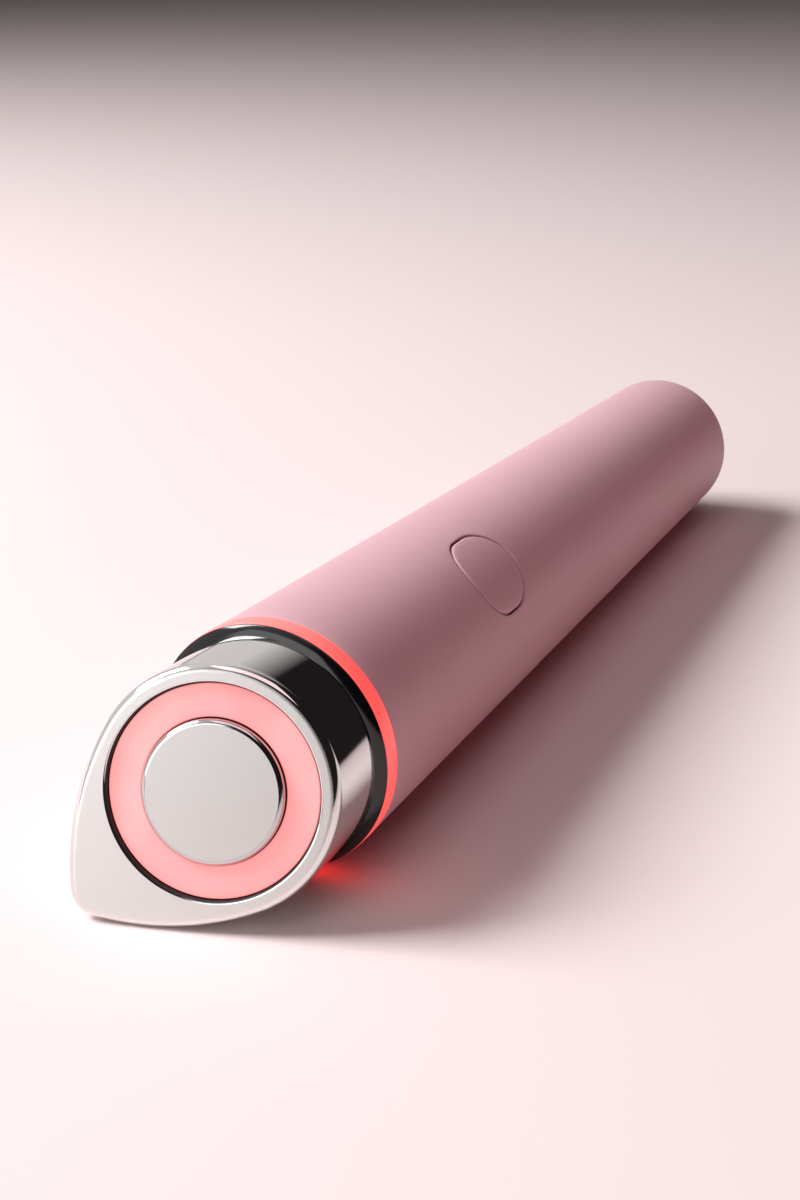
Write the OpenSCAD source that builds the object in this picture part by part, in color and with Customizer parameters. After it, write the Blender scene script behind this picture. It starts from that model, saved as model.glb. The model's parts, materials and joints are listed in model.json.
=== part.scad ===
// Hand-held skin booster wand lying on its side, in millimetres.
// Every piece is built in the wand's own frame: Z along the handle from the
// tail to the head, +X through the button, and the pointed tip towards -X.
// place() then lays the wand down with the head towards -Y.

/* [Handle] */
// Length of the pink handle shell
handle_len = 145.3; // [140:0.1:150]
// Outer radius of the handle at the tail
tail_r = 12.3; // [12.1:0.1:12.6]
// Outer radius of the handle at the light ring
front_r = 15.0; // [14.9:0.05:15.1]
// Wall thickness of the handle shell
handle_wall = 1.8; // [1.6:0.1:2.0]
// Radius of the rounded tail edge
tail_fillet = 4.2; // [3.8:0.1:4.4]
// Radius of the inset end cap
end_cap_r = 7.4; // [7.2:0.1:7.6]

/* [Light ring and collar] */
// Outer radius of the glowing ring and of the black collar
ring_r = 15.05; // [15.0:0.05:15.1]
// Width of the glowing ring along the handle
ring_w = 2.3; // [2.0:0.1:2.5]
// Depth of the collar's shoulder along the handle
shoulder_h = 1.0; // [0.8:0.1:1.2]

/* [Head] */
// Outer radius of the chrome neck where it meets the collar
neck_r = 13.9; // [13.7:0.05:14.0]
// Distance from the collar's back face to the centre of the face
face_ahead = 12.9; // [12.5:0.1:13.3]
// Lean of the face towards the button side, in degrees
face_tilt = 20; // [18:0.5:21]
// Radius of the round part of the face outline
face_r = 14.2; // [13.9:0.05:14.3]
// Distance from the centre of the face to the sharp tip before rounding
tip_reach = 21.6; // [21.4:0.1:22.1]
// Radius that rounds the tip
tip_r = 3.4; // [3.0:0.1:3.8]
// Radius of each flank between the round part and the tip
flank_r = 33; // [31:1:36]
// Radius of the bright rounded rim
rim_fillet = 1.0; // [0.8:0.1:1.2]
// Radius of the round opening in the face
face_hole_r = 12.07; // [12.0:0.01:12.1]
// Radius of the glowing lens ring
lens_r = 11.95; // [11.85:0.01:12]
// Depth of the lens below the face
lens_sink = 0.68; // [0.6:0.02:0.8]
// Radius of the centre electrode
electrode_r = 8.13; // [8.05:0.01:8.2]
// Height of the electrode above the lens
electrode_rise = 0.9; // [0.7:0.05:1.0]

/* [Button] */
// Length of the button along the handle
button_l = 12.8; // [12.5:0.1:13]
// Width of the button across the handle
button_w = 11.4; // [11:0.1:11.6]
// Corner radius of the button
button_corner = 5.3; // [5:0.1:5.5]
// Distance from the collar's back face to the middle of the button
button_back = 41.3; // [41:0.1:42]
// Gap round the button
button_gap = 0.25; // [0.2:0.05:0.3]
// Travel of the button
button_travel = 0.3; // [0.25:0.05:0.35]

/* [Inside] */
// Diameter of the battery cell
cell_d = 13; // [12.5:0.5:13]
// Length of the battery cell
cell_l = 50; // [45:1:52]
// Width of the main board
board_w = 16.4; // [16:0.1:16.8]
// Thickness of the main board
board_t = 1.2; // [1:0.1:1.2]
// Diameter of the vibration motor
motor_d = 6; // [6:0.1:6.4]

/* [Pose] */
// Turn of the button away from the horizontal, in degrees
roll = 45.5; // [43:0.5:46]
// Height of the light ring above the floor when one flank of the head rests on it
flank_lift = 0.22; // [0.15:0.01:0.3]

/* [Hidden] */
$fn = 64;
e = 0.01;
slide_gap = 0.05;

ring_z = handle_len + ring_w;
neck_z = ring_z + shoulder_h;
face_z = ring_z + face_ahead;
button_z = ring_z - button_back;
ring_inner_r = 10.2;

// The wand rests on its tail and on one flank of the head, with the light ring
// just above the floor. mid_x and mid_y put the middle of its box over the origin.
lie = atan((ring_r + flank_lift - tail_r) / (ring_z - tail_fillet));
lift = tail_r * cos(lie) - tail_fillet * sin(lie);
mid_x = 0.24;
mid_y = 83.72;

// Outer and inner radius of the tapered handle at height z
function handle_r(z) = tail_r + (front_r - tail_r) * (z - tail_fillet) / (handle_len - tail_fillet);
function cavity_r(z) = handle_r(z) - handle_wall;

module place() {
    translate([mid_x, mid_y, lift]) rotate([90 - lie, 0, 0]) rotate([0, 0, roll]) children();
}

// Moves to the middle of the face, with Z along the face's outward normal.
module on_face(depth = 0) {
    translate([0, 0, face_z]) rotate([0, face_tilt, 0]) translate([0, 0, -depth]) children();
}

module ring(r_out, r_in, h) {
    difference() {
        cylinder(r = r_out, h = h);
        translate([0, 0, -1]) cylinder(r = r_in, h = h + 2);
    }
}

// Flat outline with round corners, made of bars and discs
module round_rect(l, w, r) {
    square([l, w - 2 * r], center = true);
    square([l - 2 * r, w], center = true);
    for (sx = [-1, 1], sy = [-1, 1])
        translate([sx * (l / 2 - r), sy * (w / 2 - r)]) circle(r = r);
}

// Insulated wire as one tube along listed points
wire_sides = 10;
wire_ref = [0.3, 1, 0.2];

module wire(points, d) {
    last = len(points) - 1;
    rings = [for (i = [0 : last])
        let (t = points[min(i + 1, last)] - points[max(i - 1, 0)],
             u = cross(t, wire_ref) / norm(cross(t, wire_ref)),
             v = cross(t, u) / norm(cross(t, u)))
        for (k = [0 : wire_sides - 1]) let (a = 360 * k / wire_sides)
            points[i] + d / 2 * (cos(a) * u + sin(a) * v)];
    walls = [for (i = [0 : last - 1], k = [0 : wire_sides - 1])
        let (n = (k + 1) % wire_sides, p = i * wire_sides, q = p + wire_sides)
        for (f = [[p + k, p + n, q + n], [p + k, q + n, q + k]]) [f[0], f[2], f[1]]];
    back = [[for (k = [0 : wire_sides - 1]) k]];
    front = [[for (k = [0 : wire_sides - 1]) (last + 1) * wire_sides - 1 - k]];
    polyhedron(rings, concat(walls, back, front));
}

// Solid tapered core that follows the inside of the handle
module tapered(z0, z1, inset) {
    translate([0, 0, z0])
        cylinder(h = z1 - z0, r1 = cavity_r(z0) - inset, r2 = cavity_r(z1) - inset);
}

// Handle shell with its end wall, ring seat and button window
cap_counter = 1.2;
cap_wall = 2.4;
cap_plug_r = end_cap_r - 0.9;
cap_gap = 0.15;

module handle_shell() {
    steps = 12;
    tail_arc = [for (i = [0 : steps]) let (t = 90 * i / steps)
        [tail_r - tail_fillet + tail_fillet * sin(t), tail_fillet - tail_fillet * cos(t)]];
    inner_fillet = tail_fillet - handle_wall;
    inner_arc = [for (i = [0 : 6]) let (t = 90 - 90 * i / 6)
        [tail_r - tail_fillet + inner_fillet * sin(t), cap_wall + inner_fillet * (1 - cos(t))]];
    color("#DDB3BC") difference() {
        rotate_extrude($fn = 96) polygon(concat(
            [[cap_plug_r + slide_gap, cap_wall], [cap_plug_r + slide_gap, cap_counter],
             [end_cap_r + cap_gap, cap_counter], [end_cap_r + cap_gap, 0]],
            tail_arc,
            [[front_r, handle_len], [front_r - handle_wall, handle_len]],
            inner_arc));
        translate([0, 0, button_z]) rotate([0, 90, 0]) linear_extrude(front_r + 2)
            round_rect(button_l + 2 * button_gap, button_w + 2 * button_gap,
                button_corner + button_gap);
    }
}

// End cap pressed into the tail: socket slot, and rails that hold the charging board
slot_l = 9.2;
slot_h = 3.4;
socket_l = 8.8;
socket_h = 3.2;
usb_board_x = -socket_h / 2 - 1;
usb_board_w = 10;
usb_board_t = 1;
usb_board_l = 12.6;
rail_y = 4.6;
rail_t = 0.6;
rail_l = 10.6;

module slot_shape(l, h) {
    square([h, l - h], center = true);
    for (s = [-1, 1]) translate([0, s * (l - h) / 2]) circle(d = h, $fn = 32);
}

module end_cap() {
    color("#CFA2AC") difference() {
        union() {
            cylinder(r = end_cap_r, h = cap_counter);
            cylinder(r = cap_plug_r, h = cap_wall + 0.6);
            for (s = [-1, 1]) translate([usb_board_x - rail_t, s * (rail_y + 0.5) - 0.5, cap_wall])
                cube([usb_board_t + 2 * rail_t, 1, rail_l]);
        }
        translate([0, 0, -1]) linear_extrude(cap_wall + 3) slot_shape(slot_l, slot_h);
        translate([usb_board_x - slide_gap / 2, -usb_board_w / 2 - slide_gap, cap_wall + 0.7])
            cube([usb_board_t + slide_gap, usb_board_w + 2 * slide_gap, rail_l + 2]);
    }
}

// Button: the cap follows the curve of the handle and a skirt keeps it in
skirt_top = 10.35;
skirt_t = 0.8;
skirt_extra = 0.9;
stem_r = 1.6;
plunger_r = 1.7;
plunger_top = 8.9;

module power_button() {
    color("#DBAFB9") {
        intersection() {
            translate([0, 0, button_z]) rotate([0, 90, 0]) translate([0, 0, skirt_top - skirt_t])
                linear_extrude(8) round_rect(button_l, button_w, button_corner);
            translate([0, 0, button_z - 15])
                cylinder(h = 30, r1 = handle_r(button_z - 15), r2 = handle_r(button_z + 15), $fn = 96);
        }
        translate([0, 0, button_z]) rotate([0, 90, 0]) translate([0, 0, skirt_top - skirt_t])
            linear_extrude(skirt_t)
                round_rect(button_l + 2 * skirt_extra, button_w + 2 * skirt_extra,
                    button_corner + skirt_extra);
        translate([plunger_top + e, 0, button_z]) rotate([0, 90, 0])
            cylinder(r = stem_r, h = skirt_top - plunger_top, $fn = 32);
    }
}

// Spring round the switch that lifts the button back
board_x = 4.6;
board_top = board_x + board_t;
spring_r = 4.9;
spring_wire = 0.5;
spring_turns = 3;

module return_spring() {
    steps = 24;
    sides = 6;
    low = board_top + spring_wire / 2 + 0.05;
    high = skirt_top - skirt_t - spring_wire / 2 - 0.05;
    rings = steps * spring_turns;
    points = [for (i = [0 : rings], k = [0 : sides - 1])
        let (a = 360 * i / steps, b = 360 * k / sides,
             r = spring_r + spring_wire / 2 * cos(b))
        [r * cos(a), r * sin(a), low + (high - low) * i / rings + spring_wire / 2 * sin(b)]];
    walls = [for (i = [0 : rings - 1], k = [0 : sides - 1])
        let (n = (k + 1) % sides, p = i * sides, q = (i + 1) * sides)
        [p + n, p + k, q + k, q + n]];
    start = [[for (k = [0 : sides - 1]) k]];
    stop = [[for (k = [0 : sides - 1]) rings * sides + sides - 1 - k]];
    color("#B9BDC2") translate([0, 0, button_z]) rotate([0, 90, 0])
        polyhedron(points, concat(walls, start, stop));
}

// Translucent ring that glows between the handle and the collar
module light_ring() {
    color("#FF4B50") difference() {
        union() {
            translate([0, 0, handle_len]) cylinder(r = ring_r, h = ring_w, $fn = 96);
            translate([0, 0, handle_len - 1.2]) cylinder(r = front_r - handle_wall - 0.1, h = 1.3);
        }
        translate([0, 0, handle_len - 3]) cylinder(r = ring_inner_r, h = ring_w + 5);
    }
}

// Gloss black collar: shoulder, boss for the head and spigot for the handle
boss_r = 11.55;
boss_h = 3.0;
boss_hole_r = 8.2;
spigot_r = 10.1;
spigot_step = 0.8;
spigot_z = 139.5;
flange_h = 2.0;
seal_z = neck_z + 1.5;
seal_tube = 0.45;
head_screw_r = 9.5;
head_screw_seat = 1.2;
ring_board_z = 142.4;
head_screw_angles = [180, 80, -80];
collar_screw_y = 6.2;

module collar_ring() {
    color("#101012") difference() {
        union() {
            translate([0, 0, ring_z]) rotate_extrude($fn = 96) polygon([
                [0, 0], [ring_r - 0.3, 0], [ring_r - 0.05, 0.08], [ring_r - 0.1, 0.3],
                [neck_r + 0.1, shoulder_h], [0, shoulder_h]]);
            translate([0, 0, neck_z - e]) cylinder(r = boss_r, h = boss_h + e);
            translate([0, 0, spigot_z]) cylinder(r = spigot_r, h = ring_z - spigot_z + e);
            translate([0, 0, spigot_z]) cylinder(r = spigot_r + spigot_step, h = ring_board_z - spigot_z);
        }
        translate([0, 0, spigot_z + flange_h]) cylinder(r = boss_hole_r, h = 20);
        translate([0, 0, spigot_z - 1]) cylinder(r = 3.5, h = 10);
        translate([0, 0, seal_z]) rotate_extrude()
            translate([boss_r - seal_tube, 0]) circle(r = seal_tube + slide_gap, $fn = 24);
        for (a = head_screw_angles) rotate([0, 0, a]) translate([head_screw_r, 0, 0]) {
            translate([0, 0, ring_z - 6]) cylinder(r = 0.95, h = 12, $fn = 24);
            translate([0, 0, spigot_z - 1])
                cylinder(r = 1.7, h = ring_z + head_screw_seat - spigot_z + 1, $fn = 24);
        }
        for (s = [-1, 1]) translate([0, s * collar_screw_y, spigot_z - 1])
            cylinder(r = 1.05, h = 6, $fn = 24);
    }
}

module head_seal() {
    color("#2A2A2C") translate([0, 0, seal_z]) rotate_extrude()
        translate([boss_r - seal_tube, 0]) circle(r = seal_tube, $fn = 24);
}

// Teardrop outline: a round part, two flanks as arcs and a rounded tip.
// The flank's centre makes its arc touch the round part and pass the sharp tip.
flank_d = flank_r - face_r;
flank_x = (tip_reach * tip_reach + flank_d * flank_d - flank_r * flank_r) / (2 * tip_reach);
flank_y = -sqrt(flank_d * flank_d - flank_x * flank_x);
tip_x = flank_x + sqrt(pow(flank_r - tip_r, 2) - flank_y * flank_y);

// Distance to a circle of radius r about [cx, cy] along direction t
function ray(t, cx, cy, r) = let (b = cx * cos(t) + cy * sin(t))
    b + sqrt(max(0, b * b - cx * cx - cy * cy + r * r));
flank_start = atan2(-flank_y, -flank_x);
tip_angle = atan2(-flank_y / (flank_r - tip_r) * tip_r,
    tip_x + (tip_x - flank_x) / (flank_r - tip_r) * tip_r);

// Radius of the face outline, drawn in by d, at angle t from the tip
function outline(t, d = 0) = let (a = abs(t > 180 ? t - 360 : t))
    a > flank_start ? face_r - d
    : a > tip_angle ? ray(a, flank_x, flank_y, flank_r - d)
    : ray(a, tip_x, 0, tip_r - d);

// Chrome head: the round neck blends into the leaning teardrop face
head_sides = 96;
flare_steps = 8;
rim_steps = 5;
flare_power = 1.1;
head_bore_r = boss_r + slide_gap;
head_bore_top = neck_z + boss_h + 0.2;
board_depth = 3.9;
through_r = 8.4;

function face_point(t, d, depth) = let (r = outline(t, d),
        x = -r * cos(t), y = -r * sin(t), z = -depth)
    [x * cos(face_tilt) + z * sin(face_tilt), y, face_z - x * sin(face_tilt) + z * cos(face_tilt)];
function neck_point(t) = [-neck_r * cos(t), -neck_r * sin(t), neck_z];
function flare_point(t, s) = let (a = neck_point(t), b = face_point(t, 0, rim_fillet),
        w = pow(s, flare_power))
    [a[0] + (b[0] - a[0]) * w, a[1] + (b[1] - a[1]) * w, a[2] + (b[2] - a[2]) * s];

module head_shell() {
    n = head_sides;
    rings = flare_steps + rim_steps;
    points = concat(
        [for (i = [0 : flare_steps], k = [0 : n - 1]) flare_point(360 * k / n, i / flare_steps)],
        [for (i = [1 : rim_steps], k = [0 : n - 1]) let (a = 90 * i / rim_steps)
            face_point(360 * k / n, rim_fillet * (1 - cos(a)), rim_fillet * (1 - sin(a)))]);
    walls = [for (i = [0 : rings - 1], k = [0 : n - 1]) let (m = (k + 1) % n)
        [i * n + k, i * n + m, (i + 1) * n + m, (i + 1) * n + k]];
    back = [[for (k = [0 : n - 1]) k]];
    front = [[for (k = [0 : n - 1]) rings * n + n - 1 - k]];
    color("#D8D8D8") difference() {
        polyhedron(points, concat(
            [for (w = walls) [w[0], w[3], w[2]]], [for (w = walls) [w[0], w[2], w[1]]],
            back, front));
        on_face(board_depth) cylinder(r = face_hole_r, h = board_depth + 3);
        translate([0, 0, neck_z - 1]) cylinder(r = head_bore_r, h = head_bore_top - neck_z + 1);
        translate([0, 0, neck_z]) cylinder(r = through_r, h = 12);
        for (a = head_screw_angles) rotate([0, 0, a]) translate([head_screw_r, 0, neck_z])
            cylinder(r = 0.9, h = boss_h + 2.9, $fn = 24);
    }
}

// Clear lens with a flange that holds it in the opening
lens_t = 1.6;
lens_bore_r = electrode_r + 0.12;

module lens_ring() {
    color("#FFB4B4") on_face(lens_sink + lens_t) difference() {
        union() {
            cylinder(r = lens_r, h = lens_t, $fn = 96);
            cylinder(r = face_hole_r - 0.04, h = 0.5, $fn = 96);
        }
        translate([0, 0, -1]) cylinder(r = lens_bore_r, h = lens_t + 2, $fn = 96);
    }
}

// Electrode with a rounded edge, a hub on the light board and a threaded stem
electrode_edge = 0.6;
board_front = 2.9;
hub_r = 6;
stem_m = 1.5;

module centre_electrode() {
    top = electrode_rise - lens_sink;
    under = -1.9;
    flat_r = electrode_r - electrode_edge;
    edge = [for (i = [0 : 6]) let (t = 90 * i / 6)
        [flat_r + electrode_edge * cos(t), top - electrode_edge + electrode_edge * sin(t)]];
    color("#C9C9C8") on_face() {
        rotate_extrude($fn = 96) polygon(concat([[0, under], [electrode_r, under]], edge, [[0, top]]));
        translate([0, 0, -board_front]) cylinder(r = hub_r, h = board_front + under + e);
        translate([0, 0, -8]) cylinder(r = stem_m, h = 8 - board_front + e, $fn = 32);
    }
}

module electrode_nut() {
    color("#C8A65A") on_face(board_depth + 2.5) difference() {
        cylinder(d = 6.35, h = 2.4, $fn = 6);
        translate([0, 0, -1]) cylinder(r = stem_m, h = 5, $fn = 32);
    }
}

// Round light board and its ring of lamps behind the lens
led_count = 12;
led_ring_r = 10;
led_size = 1.6;
led_h = 0.5;

module led_board() {
    color("#F2F2EE") on_face(board_depth) ring(face_hole_r - 0.1, stem_m + 0.1, board_depth - board_front);
}

// Square lamps round a circle, with the first one at angle start
module lamps(r, size, start = 0) {
    for (i = [0 : led_count - 1]) rotate([0, 0, start + i * 360 / led_count])
        translate([r - size / 2, -size / 2, 0]) cube([size, size, led_h]);
}

module led_chips() {
    color("#FFE9B0") on_face(board_front) lamps(led_ring_r, led_size);
}

// Pan-head screw pointing along +Z, with its head below z = 0
module screw(length, r, head_r, head_h) {
    difference() {
        union() {
            translate([0, 0, -head_h]) cylinder(r = head_r, h = head_h, $fn = 24);
            cylinder(r = r, h = length, $fn = 24);
        }
        translate([0, 0, -head_h - 1]) cylinder(r = head_r * 0.35, h = 1.6, $fn = 6);
    }
}

module head_screws() {
    color("#9A9DA2") for (a = head_screw_angles)
        rotate([0, 0, a]) translate([head_screw_r, 0, ring_z + head_screw_seat])
            screw(5.2, 0.85, 1.6, 1.2);
}

module collar_screws() {
    color("#9A9DA2") for (s = [-1, 1])
        translate([0, s * collar_screw_y, spigot_z + flange_h]) mirror([0, 0, 1]) screw(5, 0.95, 1.8, 1.2);
}

// Round board behind the glowing ring, with its own lamps
ring_board_t = 0.8;
ring_led_r = 11.5;
ring_led_size = 1.4;

module ring_board() {
    color("#F2F2EE") translate([0, 0, ring_board_z])
        ring(cavity_r(ring_board_z) - 0.15, spigot_r + 0.1, ring_board_t);
}

module ring_leds() {
    color("#FF6A5A") translate([0, 0, ring_board_z + ring_board_t])
        lamps(ring_led_r, ring_led_size, 180 / led_count);
}

// Half-round tray that holds everything inside the handle
tray_z0 = 16;
tray_wall = 1.2;
tray_gap = 0.3;
cell_x = -2.6;
cell_z = 22;
post_z = [18.6, 77, 130];
post_x = [-6, -8, -9];
post_y = 6.6;
motor_x = -4.6;
motor_z = 114;
motor_l = 10;

module tray_posts() {
    for (i = [0 : 2], s = [-1, 1])
        translate([post_x[i], s * post_y, post_z[i]]) rotate([0, 90, 0])
            cylinder(r = 1.5, h = board_x - post_x[i], $fn = 24);
}

module chassis_tray() {
    color("#E8E6E2") difference() {
        union() {
            difference() {
                tapered(tray_z0, spigot_z, tray_gap);
                tapered(tray_z0 - 1, spigot_z - 2.5, tray_gap + tray_wall);
                translate([board_x, -30, 0]) cube([30, 60, spigot_z - 2.5]);
            }
            tray_posts();
            for (s = [-1, 1]) translate([0, s * collar_screw_y, spigot_z - 5.5])
                cylinder(r = 2, h = 4, $fn = 24);
        }
        for (i = [0 : 2], s = [-1, 1])
            translate([board_x - 4, s * post_y, post_z[i]]) rotate([0, 90, 0])
                cylinder(r = 0.7, h = 6, $fn = 24);
        for (s = [-1, 1]) translate([0, s * collar_screw_y, spigot_z - 5]) cylinder(r = 1, h = 8, $fn = 24);
        translate([0, 0, spigot_z - 6]) cylinder(r = 3, h = 9, $fn = 32);
    }
}

// Main board on the posts, with its screws and parts
board_z0 = 15.5;
board_z1 = 133;

module on_board(y, z, under = 0) {
    translate([under > 0 ? board_x - under : board_top, y, z]) children();
}

module main_board() {
    color("#1F5A3C") difference() {
        translate([board_x, -board_w / 2, board_z0]) cube([board_t, board_w, board_z1 - board_z0]);
        for (i = [0 : 2], s = [-1, 1])
            translate([board_x - 1, s * post_y, post_z[i]]) rotate([0, 90, 0])
                cylinder(r = 0.9, h = 4, $fn = 24);
    }
}

module board_screws() {
    color("#9A9DA2") for (i = [0 : 2], s = [-1, 1])
        translate([board_top, s * post_y, post_z[i]]) rotate([0, -90, 0]) screw(4.2, 0.65, 1.3, 0.9);
}

module control_chips() {
    color("#1B1B1D") {
        on_board(0, 34) translate([0.5, 0, 0]) cube([1, 7, 7], center = true);
        on_board(0, 52) translate([0.45, 0, 0]) cube([0.9, 5, 5], center = true);
        on_board(3, 68) translate([0.4, 0, 0]) cube([0.8, 4, 3], center = true);
        on_board(-3, 86) translate([0.75, 0, 0]) cube([1.5, 4, 5], center = true);
        for (i = [0 : 5])
            on_board(-6.2, 28 + 5 * i) translate([0.3, 0, 0]) cube([0.6, 1.2, 2], center = true);
    }
}

// Push switch under the button: its plunger has room for the travel below it
switch_w = 6;
switch_h = 2.2;
switch_floor = board_top + 1;
plunger_low = switch_floor + button_travel + 0.1;

module switch_body() {
    color("#2C2C30") difference() {
        translate([board_top + switch_h / 2, 0, button_z])
            cube([switch_h, switch_w, switch_w], center = true);
        translate([switch_floor, 0, button_z]) rotate([0, 90, 0])
            cylinder(r = plunger_r + slide_gap, h = switch_h, $fn = 32);
    }
}

module switch_plunger() {
    color("#C9B27A") translate([plunger_low, 0, button_z]) rotate([0, 90, 0])
        cylinder(r = plunger_r, h = plunger_top - plunger_low, $fn = 32);
}

// Boost coil and its core, capacitors and buzzer under the board
coil_z = 92;
coil_h = 6;
core_w = 8;
core_r = 1.6;
buzzer_z = 81;
capacitor_z = 104;

module boost_coil() {
    color("#B4692C") on_board(0, coil_z - coil_h / 2, core_w / 2) ring(3.6, core_r + slide_gap, coil_h);
}

module boost_core() {
    color("#3B3B40") on_board(0, coil_z, core_w / 2) {
        translate([0, 0, -coil_h / 2]) cylinder(r = core_r, h = coil_h, $fn = 32);
        for (s = [-1, 1]) translate([0, 0, s * 3.7]) cube([core_w, 9, 1.4], center = true);
    }
}

module capacitors() {
    color("#6A7890") for (s = [-1, 1])
        translate([board_x - 7, s * 3.3, capacitor_z]) rotate([0, 90, 0]) cylinder(r = 2.6, h = 7, $fn = 32);
}

module buzzer() {
    color("#26262A") translate([board_x - 3, 0, buzzer_z]) rotate([0, 90, 0]) difference() {
        cylinder(r = 4, h = 3, $fn = 32);
        translate([0, 0, -1]) cylinder(r = 0.6, h = 2, $fn = 24);
    }
}

// Battery cell, its welded tabs, its foam bed and its leads
module battery_cell() {
    color("#6FA4C8") translate([cell_x, 0, cell_z]) {
        cylinder(d = cell_d, h = cell_l);
        translate([0, 0, cell_l - e]) cylinder(r = 2.6, h = 0.6, $fn = 32);
    }
}

module battery_tabs() {
    color("#C6C8CB") {
        translate([cell_x - 1, -1.5, cell_z - 0.25]) cube([board_x - cell_x + 0.9, 3, 0.2]);
        translate([cell_x - 1, -1.5, cell_z + cell_l + 0.65]) cube([board_x - cell_x + 0.9, 3, 0.2]);
    }
}

module battery_foam() {
    color("#4A4A4E") intersection() {
        tapered(cell_z + 4, cell_z + cell_l - 4, tray_gap + tray_wall + 0.05);
        difference() {
            translate([-14, -4, cell_z + 4]) cube([8, 8, cell_l - 8]);
            translate([cell_x, 0, cell_z]) cylinder(d = cell_d + 0.05, h = cell_l);
        }
    }
}

module battery_leads() {
    color("#C23B30") {
        for (s = [-1, 1])
            wire([[-1.1, s * 3.9, 12.5], [-1.1, s * 3.9, 16], [1.6, s * 3.9, 19.6],
                  [board_x - 0.5, s * 3.4, 20.4]], 0.9);
    }
}

// Charging board with the socket that shows in the end cap
socket_z = 0.7;

module usb_board() {
    color("#1F5A3C") translate([usb_board_x, -usb_board_w / 2, cap_wall + 0.8])
        cube([usb_board_t, usb_board_w, usb_board_l]);
}

module usb_socket() {
    color("#B8BABD") {
        difference() {
            translate([0, 0, socket_z]) linear_extrude(7.6) slot_shape(socket_l, socket_h);
            translate([0, 0, socket_z - 1]) linear_extrude(7.4) slot_shape(socket_l - 0.5, socket_h - 0.5);
        }
        translate([-0.35, -3.3, socket_z + 0.8]) cube([0.7, 6.6, 6]);
    }
}

// Vibration motor: case, saddle, shaft and off-centre weight
shaft_r = 0.5;
weight_r = 2.7;
weight_z = motor_z + motor_l + 0.6;

module motor_case() {
    color("#B4B7BB") translate([motor_x, 0, motor_z]) difference() {
        cylinder(d = motor_d, h = motor_l);
        translate([0, 0, 2]) cylinder(r = shaft_r + slide_gap, h = motor_l, $fn = 32);
    }
}

module motor_saddle() {
    color("#3A3A3E") intersection() {
        tapered(motor_z + 1, motor_z + 8, tray_gap + tray_wall + 0.05);
        difference() {
            translate([-16, -4.2, motor_z + 1]) cube([16 + motor_x, 8.4, 7]);
            translate([motor_x, 0, motor_z]) cylinder(d = motor_d + 0.02, h = motor_l);
        }
    }
}

module motor_shaft() {
    color("#D0D2D5") translate([motor_x, 0, motor_z + 2.2])
        cylinder(r = shaft_r, h = motor_l + 4, $fn = 32);
}

module eccentric_weight() {
    color("#8E8A80") translate([motor_x, 0, weight_z]) difference() {
        union() {
            cylinder(r = 1.2, h = 3.6, $fn = 32);
            intersection() {
                cylinder(r = weight_r, h = 3.6, $fn = 48);
                translate([-weight_r - 1, -weight_r, 0]) cube([weight_r + 1, 2 * weight_r, 3.6]);
            }
        }
        translate([0, 0, -1]) cylinder(r = shaft_r, h = 6, $fn = 32);
    }
}

module motor_leads() {
    color("#2F5FA8") for (s = [-1, 1])
        wire([[motor_x + 1, s * 1.4, motor_z - 0.45], [1.5, s * 1.8, motor_z - 2.5],
              [board_x - 0.4, s * 1.8, motor_z - 3]], 0.8);
}

// Lead from the main board up to the electrode
module electrode_lead() {
    color("#C9A23A") wire([[2.2, 0, 131.5], [1.2, 0, 137], [0.6, 0, 146], [0.6, -3, 151.2],
        [-2.1, -3.3, 155.2]], 0.9);
}

place() handle_shell();
place() end_cap();
place() power_button();
place() return_spring();
place() light_ring();
place() collar_ring();
place() head_seal();
place() head_shell();
place() lens_ring();
place() centre_electrode();
place() electrode_nut();
place() led_board();
place() led_chips();
place() head_screws();
place() collar_screws();
place() ring_board();
place() ring_leds();
place() chassis_tray();
place() main_board();
place() board_screws();
place() control_chips();
place() switch_body();
place() switch_plunger();
place() boost_coil();
place() boost_core();
place() capacitors();
place() buzzer();
place() battery_cell();
place() battery_tabs();
place() battery_foam();
place() battery_leads();
place() usb_board();
place() usb_socket();
place() motor_case();
place() motor_saddle();
place() motor_shaft();
place() eccentric_weight();
place() motor_leads();
place() electrode_lead();
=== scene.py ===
# %% [markdown]
# A skin booster wand, dressed in Blender.
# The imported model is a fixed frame: it gives the place of each piece, the bodies that move and the
# finishes. This lesson builds the visible surfaces round it, piece by piece. Every shape is worked
# out in the wand's own millimetres (Z from the tail to the head, X through the button) and then
# carried into the frame by one matrix, so nothing is fitted by eye.

# %% Load the frame
import json
import math
import bpy
from mathutils import Matrix, Vector


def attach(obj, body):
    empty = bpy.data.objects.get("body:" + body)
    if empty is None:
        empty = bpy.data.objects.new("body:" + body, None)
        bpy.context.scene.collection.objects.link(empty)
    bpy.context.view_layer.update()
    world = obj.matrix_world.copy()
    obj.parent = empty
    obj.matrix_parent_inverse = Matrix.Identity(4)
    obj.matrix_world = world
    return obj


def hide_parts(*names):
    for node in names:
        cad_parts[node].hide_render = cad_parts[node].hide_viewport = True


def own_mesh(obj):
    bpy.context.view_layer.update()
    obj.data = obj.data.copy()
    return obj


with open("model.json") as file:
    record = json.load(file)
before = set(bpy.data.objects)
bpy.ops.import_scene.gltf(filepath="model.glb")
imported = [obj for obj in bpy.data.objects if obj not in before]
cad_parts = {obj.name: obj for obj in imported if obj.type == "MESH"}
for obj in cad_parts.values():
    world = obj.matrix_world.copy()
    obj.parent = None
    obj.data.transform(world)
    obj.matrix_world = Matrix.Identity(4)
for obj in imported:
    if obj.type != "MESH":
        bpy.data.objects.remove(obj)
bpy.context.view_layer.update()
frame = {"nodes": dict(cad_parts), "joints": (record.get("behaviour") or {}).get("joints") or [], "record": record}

nodes = frame["nodes"]
record = frame["record"]

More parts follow.
